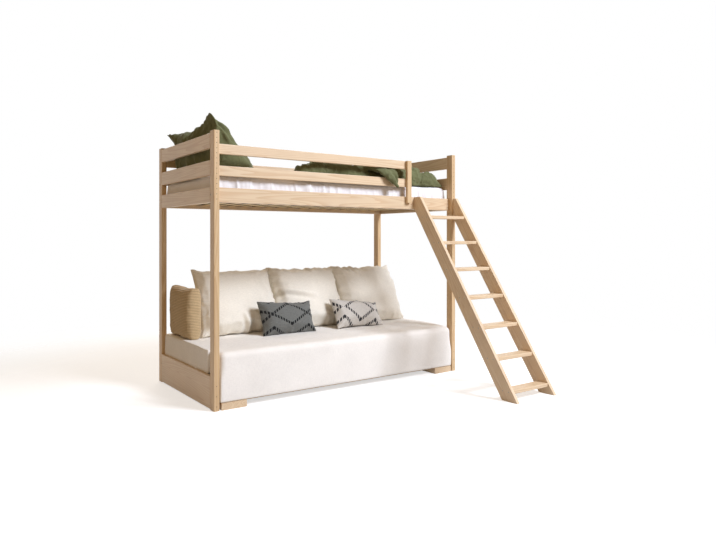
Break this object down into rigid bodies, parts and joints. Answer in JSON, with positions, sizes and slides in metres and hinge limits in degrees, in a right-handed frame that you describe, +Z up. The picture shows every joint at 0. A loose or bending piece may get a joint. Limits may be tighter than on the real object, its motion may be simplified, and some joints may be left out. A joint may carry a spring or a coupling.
{
  "type": "bunk bed over a sofa",
  "caption": "Pine high bed with guard rails and a slanted ladder over a sofa whose base pulls out into a bed.",
  "frame": {"origin": "on the floor under the middle of the whole footprint, ladder included", "axes": "+X along the long front towards the ladder end, +Y from the front to the back, +Z up"},
  "size_m": [2.08, 2.033, 1.8979],
  "materials": {
    "pine": "clear satin lacquer",
    "slat_pine": "planed, unlacquered",
    "beech": "fluted dowel",
    "cream_fabric": "plain cotton",
    "sand_fabric": "fine ribbed cotton",
    "grey_fabric": "woven cotton",
    "pale_fabric": "woven cotton",
    "white_sheet": "cotton fitted sheet",
    "green_fabric": "washed cotton",
    "zinc_steel": "zinc plated"
  },
  "bodies": {
    "frame": {"post_front_left_lower": "pine", "post_front_left_upper": "pine", "post_front_right_lower": "pine", "post_front_right_upper": "pine", "post_back_left_lower": "pine", "post_back_left_upper": "pine", "post_back_right_lower": "pine", "post_back_right_upper": "pine", "left_end_rail_bottom": "pine", "left_end_rail_middle": "pine", "left_end_rail_top": "pine", "right_end_rail_bottom": "pine", "right_end_rail_middle": "pine", "right_end_rail_top": "pine", "front_side_rail": "pine", "back_side_rail": "pine", "front_guard_rail_lower": "pine", "front_guard_rail_top": "pine", "back_guard_rail_lower": "pine", "back_guard_rail_top": "pine", "guard_post": "pine", "front_slat_ledger": "pine", "back_slat_ledger": "pine", "seat_end_panel_left": "pine", "seat_end_panel_right": "pine", "seat_back_rail": "pine", "seat_bearer": "pine", "seat_bearer_leg": "pine", "ladder_stringer_left": "pine", "ladder_stringer_right": "pine", "ladder_tread_1": "pine", "ladder_tread_2": "pine", "ladder_tread_3": "pine", "ladder_tread_4": "pine", "ladder_tread_5": "pine", "ladder_tread_6": "pine", "ladder_tread_7": "pine", "upper_slats": "slat_pine", "fixed_seat_slats": "slat_pine", "back_cushion_left": "cream_fabric", "back_cushion_middle": "cream_fabric", "back_cushion_right": "cream_fabric", "seat_mattress": "cream_fabric", "corner_cushion": "sand_fabric", "dark_scatter_cushion": "grey_fabric", "light_scatter_cushion": "pale_fabric", "upper_mattress": "white_sheet", "pillow": "green_fabric", "duvet": "green_fabric", "frame_bolts": "zinc_steel", "barrel_nuts": "zinc_steel", "wood_screws": "zinc_steel", "dowels": "beech"},
    "pullout": {"pullout_front_board": "pine", "pullout_rear_tie": "pine", "pullout_foot_left": "pine", "pullout_foot_right": "pine", "pullout_toe_board": "pine", "pullout_slats": "slat_pine"},
    "front_cushion": {"front_cushion": "cream_fabric"}
  },
  "joints": [
    {"name": "pullout_slide", "type": "slide", "parent": "frame", "child": "pullout", "axis": [0, -1, 0], "range_m": [0, 0.3]},
    {"name": "front_cushion_lift", "type": "slide", "parent": "pullout", "child": "front_cushion", "axis": [0, 0, 1], "range_m": [0, 0.36]}
  ]
}
